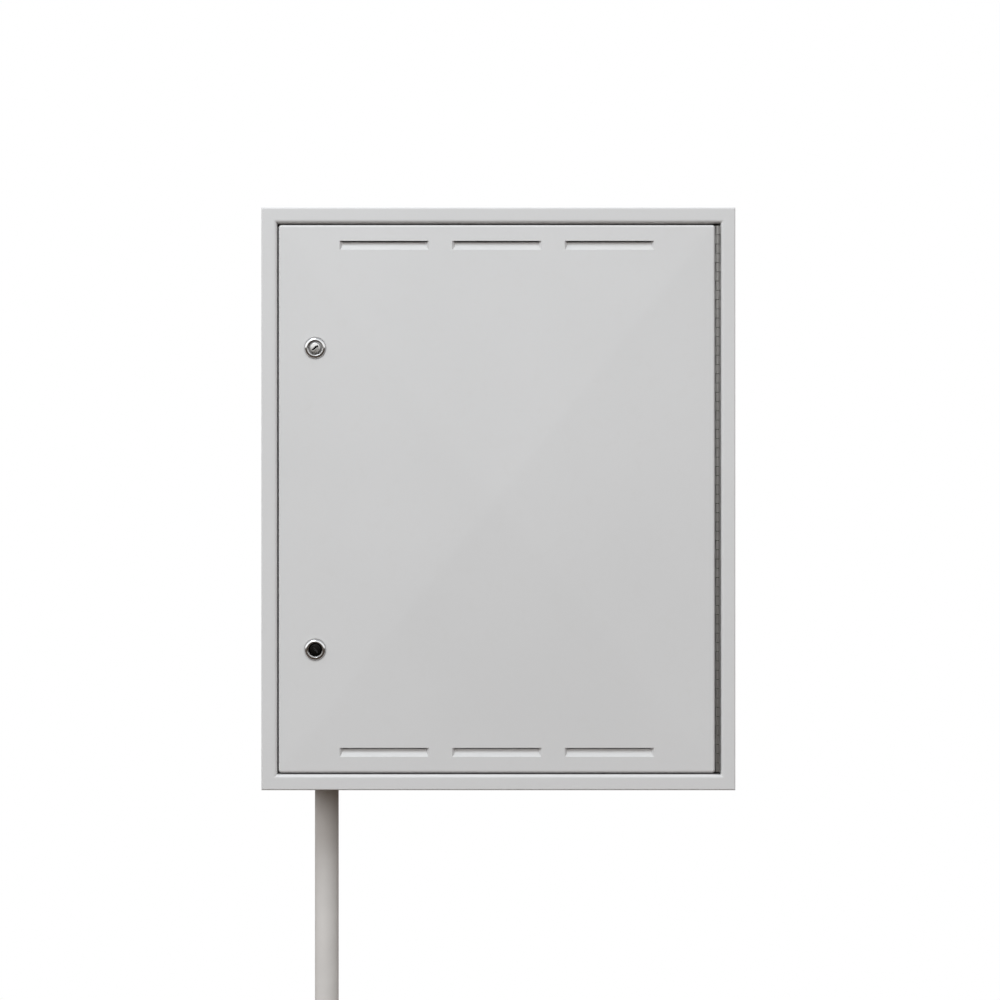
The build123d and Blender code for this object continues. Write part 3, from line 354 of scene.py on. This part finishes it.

materials = {
    "case_paint": powder_coat("powder_coat", COAT),
    "seal_foam": foamed("seal_foam", (0.035, 0.035, 0.037)),
    # The hinge steel is painted darker than bare stainless, as shade in the narrow gap beside the door
    "hinge_steel": rolled_steel("hinge_stainless_painted_shade", (0.31, 0.305, 0.295), (900.0, 900.0, 60.0), 0.34),
    "rivet_alloy": plated("rivet_alloy", (0.66, 0.66, 0.65), 0.34),
    "entry_nylon": moulded("entry_nylon", (0.30, 0.30, 0.29)),
    "conduit_pvc": moulded("conduit_pvc", (0.715, 0.685, 0.655), 0.36, 0.5, 500.0, 0.03 * MM),
    "zinc_sheet": galvanised("galvanised_sheet", (0.55, 0.57, 0.59)),
    "zinc_fixings": plated("zinc_fixings", (0.62, 0.61, 0.57)),
    "spacer_nylon": moulded("spacer_nylon", (0.66, 0.64, 0.56), 0.5, Subsurface_Weight=0.1),
    "earth_brass": plated("earth_brass", (0.62, 0.44, 0.17), 0.26),
    "rod_steel": rolled_steel("ground_rod", (0.52, 0.52, 0.52), (60.0, 2200.0, 2200.0), 0.22),
    "adapter_plastic": moulded("adapter_plastic", (0.012, 0.085, 0.30), 0.3, 0.5),
    "cap_plastic": moulded("cap_plastic", (0.66, 0.66, 0.63), 0.42, Subsurface_Weight=0.08),
    "spool_plastic": moulded("spool_plastic", (0.60, 0.60, 0.57), 0.42),
    "lock_chrome": polished("lock_chrome", (0.70, 0.70, 0.70)),
    "plug_chrome": lock_core(
        "plug_chrome",
        "upper_lock_plug",
        (0.80, 0.80, 0.78),
        # painted shade in the groove, then painted shade in the keyway
        (0.34, 0.34, 0.34),
        (0.03, 0.03, 0.03),
        0.22,
    ),
    "plug_black": lock_core(
        "plug_black",
        "lower_lock_plug",
        (0.020, 0.019, 0.018),
        # painted shade in the groove, then a painted highlight in the keyway
        (0.006, 0.006, 0.006),
        (0.11, 0.11, 0.11),
        0.30,
    ),
    "cam_zinc": plated("cam_zinc", (0.60, 0.59, 0.55), 0.32),
    "tray_plastic": moulded("tray_plastic", (0.56, 0.57, 0.56), 0.4),
    "comb_rubber": moulded("comb_rubber", (0.025, 0.025, 0.028), 0.6, 0.3),
    "cover_plastic": moulded(
        "clear_cover", (0.86, 0.89, 0.90), 0.12, 0.5, 300.0, 0.02 * MM, Transmission_Weight=0.92, IOR=1.5
    ),
}

# Nodes that look unlike the rest of their material slot
own_looks = {
    "plate_studs": plated("stud_thread", (0.62, 0.61, 0.57), thread=(1, 1.0 * MM)),
    # The pin is painted near black, as shade in the gaps between the hinge knuckles
    "hinge_pin": rolled_steel("pin_painted_shade", (0.070, 0.066, 0.060), (900.0, 900.0, 60.0), 0.4),
}

slots = {entry["node"]: entry["material_slot"] for entry in frame["record"]["subparts"]}
for node_name, cad in nodes.items():
    cad.data.materials.clear()
    cad.data.materials.append(own_looks.get(node_name) or materials[slots[node_name]])

# ---------------------------------------------------------------- Turned pieces

SEGMENTS = 96
SMOOTH_BELOW = math.radians(35)  # between two faces

# The lock's body and bezel. Depths are measured back from the front of the bezel.
BEZEL_HEIGHT = 3.0 * MM
BEZEL_ROUND = 2.7 * MM
SOCKET_RADIUS = 7.5 * MM
SOCKET_DEPTH = 4.0 * MM
SOCKET_LIP = 0.35 * MM
BODY_RADIUS = 9.5 * MM
BODY_FLATS = 17.0 * MM  # across the flats at its sides
BORE_RADIUS = 7.0 * MM
DOOR_SHEET = 1.5 * MM
BODY_THREAD = (1.0 * MM, 0.4 * MM)  # pitch and depth

# The lock's core. Depths are measured back from the front of its boss.
PLUG_RADIUS = 6.95 * MM
PLUG_BOSS_RADIUS = 5.2 * MM
PLUG_BOSS_HEIGHT = 3.1 * MM
PLUG_BOSS_ROUND = 0.45 * MM
PLUG_EDGE = 0.2 * MM
SQUARE_SIZE = 7.0 * MM
SQUARE_LENGTH = 3.0 * MM
KEYWAY_LENGTH = 7.6 * MM
KEYWAY_WIDTH = 1.7 * MM
KEYWAY_DEPTH = 6.0 * MM
WARD_LENGTH = 2.2 * MM  # of the step along one side of the keyway
WARD_WIDTH = 1.0 * MM
KEYWAY_ANGLES = {"upper": math.radians(35), "lower": math.radians(-52)}

EARTH_THREAD = (1.25 * MM, 0.6 * MM)  # pitch and depth
EARTH_TIP = 0.9 * MM  # taken off the radius at the stud's tip


def arc(centre_radius, centre_y, size, start, end, steps):
    """Profile points round an arc. Angle 0 points away from the axis, and 90 out of the wall."""
    angles = [math.radians(start + (end - start) * step / steps) for step in range(steps + 1)]
    return [(centre_radius + size * math.cos(a), centre_y - size * math.sin(a)) for a in angles]


def ridges(radius, start, end, form):
    """Profile points of a screw thread's ridges between two places along Y."""
    pitch, depth = form
    count = int(abs(end - start) / pitch * 2)
    step = (end - start) / count
    return [(radius - depth * (i % 2), start + i * step) for i in range(count + 1)]


def turned(name, centre, profile, closed=False, section=None):
    """A mesh turned about an axis along Y, from a profile of radius and Y.

    A closed profile ends where it began. section, if given, moves each point across the axis.
    """
    form = bmesh.new()
    rings = []
    for radius, y in profile:
        ring = []
        for step in range(SEGMENTS):
            angle = 2 * math.pi * step / SEGMENTS
            x, z = radius * math.cos(angle), radius * math.sin(angle)
            if section:
                x, z = section(x, z, y)
            ring.append(form.verts.new((centre.x + x, y, centre.z + z)))
        rings.append(ring)
    next_rings = rings[1:] + rings[:1] if closed else rings[1:]
    for one, other in zip(rings, next_rings):
        for step in range(SEGMENTS):
            after = (step + 1) % SEGMENTS
            form.faces.new((one[step], one[after], other[after], other[step]))
    if not closed:
        form.faces.new(rings[0])
        form.faces.new(rings[-1])
    bmesh.ops.recalc_face_normals(form, faces=form.faces)
    mesh = bpy.data.meshes.new(name)
    form.to_mesh(mesh)
    form.free()
    made = bpy.data.objects.new(name, mesh)
    scene.collection.objects.link(made)
    return made


def cut(piece, cutter):
    """Takes the cutter's shape out of the piece and deletes the cutter."""
    modifier = piece.modifiers.new("cut", "BOOLEAN")
    modifier.operation = "DIFFERENCE"
    modifier.solver = "EXACT"
    modifier.object = cutter
    bpy.context.view_layer.update()
    graph = bpy.context.evaluated_depsgraph_get()
    result = bpy.data.meshes.new_from_object(piece.evaluated_get(graph))
    piece.modifiers.remove(modifier)
    piece.data = result
    bpy.data.objects.remove(cutter)


def finish_piece(piece, body, node):
    """Gives a new piece its node's material, body and material slot, and hides the node."""
    piece.data.materials.clear()
    piece.data.materials.append(nodes[node].data.materials[0])
    piece.data.shade_smooth()
    piece.data.set_sharp_from_angle(angle=SMOOTH_BELOW)
    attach(piece, body)
    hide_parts(node)


def middle(low, high):
    return (low + high) / 2


def lock_body(place):
    """A lock's chromed bezel, socket and threaded, flat-sided body."""
    node = f"{place}_lock_housing"
    low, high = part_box(node)
    centre = middle(low, high)
    bezel_radius = (high.x - low.x) / 2
    bezel_back = low.y + BEZEL_HEIGHT
    thread_start = bezel_back + DOOR_SHEET
    profile = [
        *arc(SOCKET_RADIUS + SOCKET_LIP, low.y + SOCKET_LIP, SOCKET_LIP, 180, 90, 4),
        *arc(bezel_radius - BEZEL_ROUND, low.y + BEZEL_ROUND, BEZEL_ROUND, 90, 0, 12),
        (bezel_radius, bezel_back),
        (BODY_RADIUS, bezel_back),
        *ridges(BODY_RADIUS, thread_start, high.y, BODY_THREAD),
        (BORE_RADIUS, high.y),
        (BORE_RADIUS, low.y + SOCKET_DEPTH),
        (SOCKET_RADIUS, low.y + SOCKET_DEPTH),
    ]

    def flat_sided(x, z, y):
        if y < bezel_back or math.hypot(x, z) > BODY_RADIUS + SOCKET_LIP:
            return x, z
        return max(-BODY_FLATS / 2, min(BODY_FLATS / 2, x)), z

    piece = turned(f"{place}_lock_body", centre, profile, closed=True, section=flat_sided)
    finish_piece(piece, "door", node)


def lock_plug(place):
    """A lock's turning core, with a warded keyway in its boss and a square end for the cam."""
    node = f"{place}_lock_plug"
    low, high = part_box(node)
    centre = middle(low, high)
    shoulder = low.y + PLUG_BOSS_HEIGHT
    square_start = high.y - SQUARE_LENGTH
    boss_edge = PLUG_BOSS_RADIUS - PLUG_BOSS_ROUND
    profile = [
        *arc(boss_edge, low.y + PLUG_BOSS_ROUND, PLUG_BOSS_ROUND, 90, 0, 5),
        (PLUG_BOSS_RADIUS, shoulder),
        *arc(PLUG_RADIUS - PLUG_EDGE, shoulder + PLUG_EDGE, PLUG_EDGE, 90, 0, 3),
        (PLUG_RADIUS, square_start),
        (SQUARE_SIZE / 2, square_start),
        (SQUARE_SIZE / 2, high.y),
    ]

    def squared(x, z, y):
        radius = math.hypot(x, z)
        if y < square_start or radius > SQUARE_SIZE / 2 + PLUG_EDGE:
            return x, z
        stretch = radius / max(abs(x), abs(z))
        return x * stretch, z * stretch

    piece = turned(f"{place}_lock_core", centre, profile, section=squared)
    for length, width, along, across in (
        (KEYWAY_LENGTH, KEYWAY_WIDTH, 0, 0),
        (WARD_LENGTH, WARD_WIDTH, WARD_LENGTH / 2, KEYWAY_WIDTH / 2),
    ):
        shape = bmesh.new()
        bmesh.ops.create_cube(shape, size=1)
        bmesh.ops.scale(shape, vec=(length, 2 * KEYWAY_DEPTH, width), verts=shape.verts)
        bmesh.ops.translate(shape, vec=(along, 0, across), verts=shape.verts)
        mesh = bpy.data.meshes.new("keyway")
        shape.to_mesh(mesh)
        shape.free()
        cutter = bpy.data.objects.new("keyway", mesh)
        cutter.location = (centre.x, low.y, centre.z)
        cutter.rotation_euler.y = -KEYWAY_ANGLES[place]
        scene.collection.objects.link(cutter)
        cut(piece, cutter)
    finish_piece(piece, f"{place}_lock", node)


def earth_stud():
    """The earth stud, with its thread."""
    low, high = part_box("earth_stud")
    radius = (high.x - low.x) / 2
    thread_start = low.y + EARTH_THREAD[1]
    profile = [(radius - EARTH_TIP, low.y), *ridges(radius, thread_start, high.y, EARTH_THREAD)]
    piece = turned("earth_stud_thread", middle(low, high), profile)
    finish_piece(piece, "enclosure", "earth_stud")


for lock in KEYWAY_ANGLES:
    lock_body(lock)
    lock_plug(lock)
earth_stud()

# ---------------------------------------------------------------- Camera, light and floor

CAMERA_DISTANCE = 2.6  # from the front of the frame
VIEW_WIDTH = 1.0206  # of the picture, at the front of the frame
VIEW_SIDE = 1.7 * MM  # of the camera from the middle of the box, to the right
VIEW_HEIGHT = -1.2 * MM
SENSOR = 36.0
CLIP_END = 50.0
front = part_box("front_frame")[0].y

camera_data = bpy.data.cameras.new("camera")
camera_data.sensor_width = SENSOR
camera_data.lens = SENSOR * CAMERA_DISTANCE / VIEW_WIDTH
camera_data.clip_end = CLIP_END
camera = bpy.data.objects.new("camera", camera_data)
camera.location = (VIEW_SIDE, front - CAMERA_DISTANCE, VIEW_HEIGHT)
camera.rotation_euler = (math.radians(90), 0, 0)
scene.collection.objects.link(camera)
scene.camera = camera


KEY_PLACE = Vector((-0.95, -2.3, 2.2))
KEY_TARGET = Vector((0, -0.15, 0))
KEY_SIZE = 1.3
KEY_POWER = 42.0
KEY_COLOUR = (0.90, 0.96, 1.0)

key_data = bpy.data.lights.new("key", "AREA")
key_data.shape = "DISK"
key_data.size = KEY_SIZE
key_data.energy = KEY_POWER
key_data.color = KEY_COLOUR
key = bpy.data.objects.new("key", key_data)
key.location = KEY_PLACE
key.rotation_euler = (KEY_TARGET - KEY_PLACE).to_track_quat("-Z", "Y").to_euler()
scene.collection.objects.link(key)

# Brightness of the surroundings by height, from straight down (0) to straight up (1)
SKY = (
    (0.00, (0.100, 0.074, 0.060)),
    (0.50, (0.110, 0.092, 0.078)),
    (0.53, (0.300, 0.290, 0.280)),
    (0.57, (1.420, 1.420, 1.420)),
    (0.74, (1.370, 1.385, 1.405)),
    (0.86, (0.840, 0.870, 0.910)),
    (1.00, (0.560, 0.585, 0.620)),
)
SKY_STRENGTH = 1.01
SIDE_FALL = 0.16  # brighter on the left by this share, and dimmer on the right
BEHIND = 0.82  # brightness behind the wall plane, as a share of that in front
BEHIND_FROM = 0.5  # where that share is reached, from the wall plane (0) to straight behind (1)


def sky():
    """A bright sky over a dark ground, and plain white where the camera looks past the object."""
    world = bpy.data.worlds.new("studio")
    scene.world = world
    world.use_nodes = True
    tree = world.node_tree
    tree.nodes.clear()

    def add(kind, **settings):
        made = tree.nodes.new(kind)
        for key, value in settings.items():
            setattr(made, key, value)
        return made

    def ranged(source, from_low, from_high, low, high):
        made = add("ShaderNodeMapRange")
        for socket, value in zip(made.inputs[1:5], (from_low, from_high, low, high)):
            socket.default_value = value
        tree.links.new(source, made.inputs["Value"])
        return made.outputs["Result"]

    place = add("ShaderNodeTexCoord")
    split = add("ShaderNodeSeparateXYZ")
    tree.links.new(place.outputs["Generated"], split.inputs[0])
    ramp = add("ShaderNodeValToRGB")
    while len(ramp.color_ramp.elements) < len(SKY):
        ramp.color_ramp.elements.new(0.5)
    for stop, (position, colour) in zip(ramp.color_ramp.elements, SKY):
        stop.position = position
        stop.color = (*colour, 1)
    tree.links.new(ranged(split.outputs["Z"], -1, 1, 0, 1), ramp.inputs["Fac"])
    side = ranged(split.outputs["X"], -1, 1, 1 + SIDE_FALL, 1 - SIDE_FALL)
    behind = ranged(split.outputs["Y"], 0, BEHIND_FROM, 1, BEHIND)
    dimmed = add("ShaderNodeMath", operation="MULTIPLY")
    tree.links.new(side, dimmed.inputs[0])
    tree.links.new(behind, dimmed.inputs[1])
    strength = add("ShaderNodeMath", operation="MULTIPLY")
    tree.links.new(dimmed.outputs[0], strength.inputs[0])
    strength.inputs[1].default_value = SKY_STRENGTH
    light = add("ShaderNodeBackground")
    tree.links.new(ramp.outputs["Color"], light.inputs["Color"])
    tree.links.new(strength.outputs[0], light.inputs["Strength"])
    seen = add("ShaderNodeBackground")
    seen.inputs["Color"].default_value = (1, 1, 1, 1)
    rays = add("ShaderNodeLightPath")
    mix = add("ShaderNodeMixShader")
    tree.links.new(rays.outputs["Is Camera Ray"], mix.inputs["Fac"])
    tree.links.new(light.outputs[0], mix.inputs[1])
    tree.links.new(seen.outputs[0], mix.inputs[2])
    out = add("ShaderNodeOutputWorld")
    tree.links.new(mix.outputs[0], out.inputs["Surface"])


sky()
scene.view_settings.view_transform = "Standard"
scene.view_settings.look = "None"

FLOOR_HEIGHT = -0.95
FLOOR_RADIUS = 1.85

floor_mesh = bpy.data.meshes.new("floor")
shape = bmesh.new()
bmesh.ops.create_circle(shape, cap_ends=True, radius=FLOOR_RADIUS, segments=SEGMENTS)
shape.to_mesh(floor_mesh)
shape.free()
floor = bpy.data.objects.new("floor", floor_mesh)
floor.location.z = FLOOR_HEIGHT
scene.collection.objects.link(floor)
floor_paint = Paint("floor")
floor_mesh.materials.append(
    floor_paint.finish(
        floor_paint.blend(floor_paint.noise(3.0), (0.80, 0.80, 0.79), (0.84, 0.84, 0.83)),
        0.7,
    )
)
floor.visible_diffuse = False
floor.visible_glossy = False
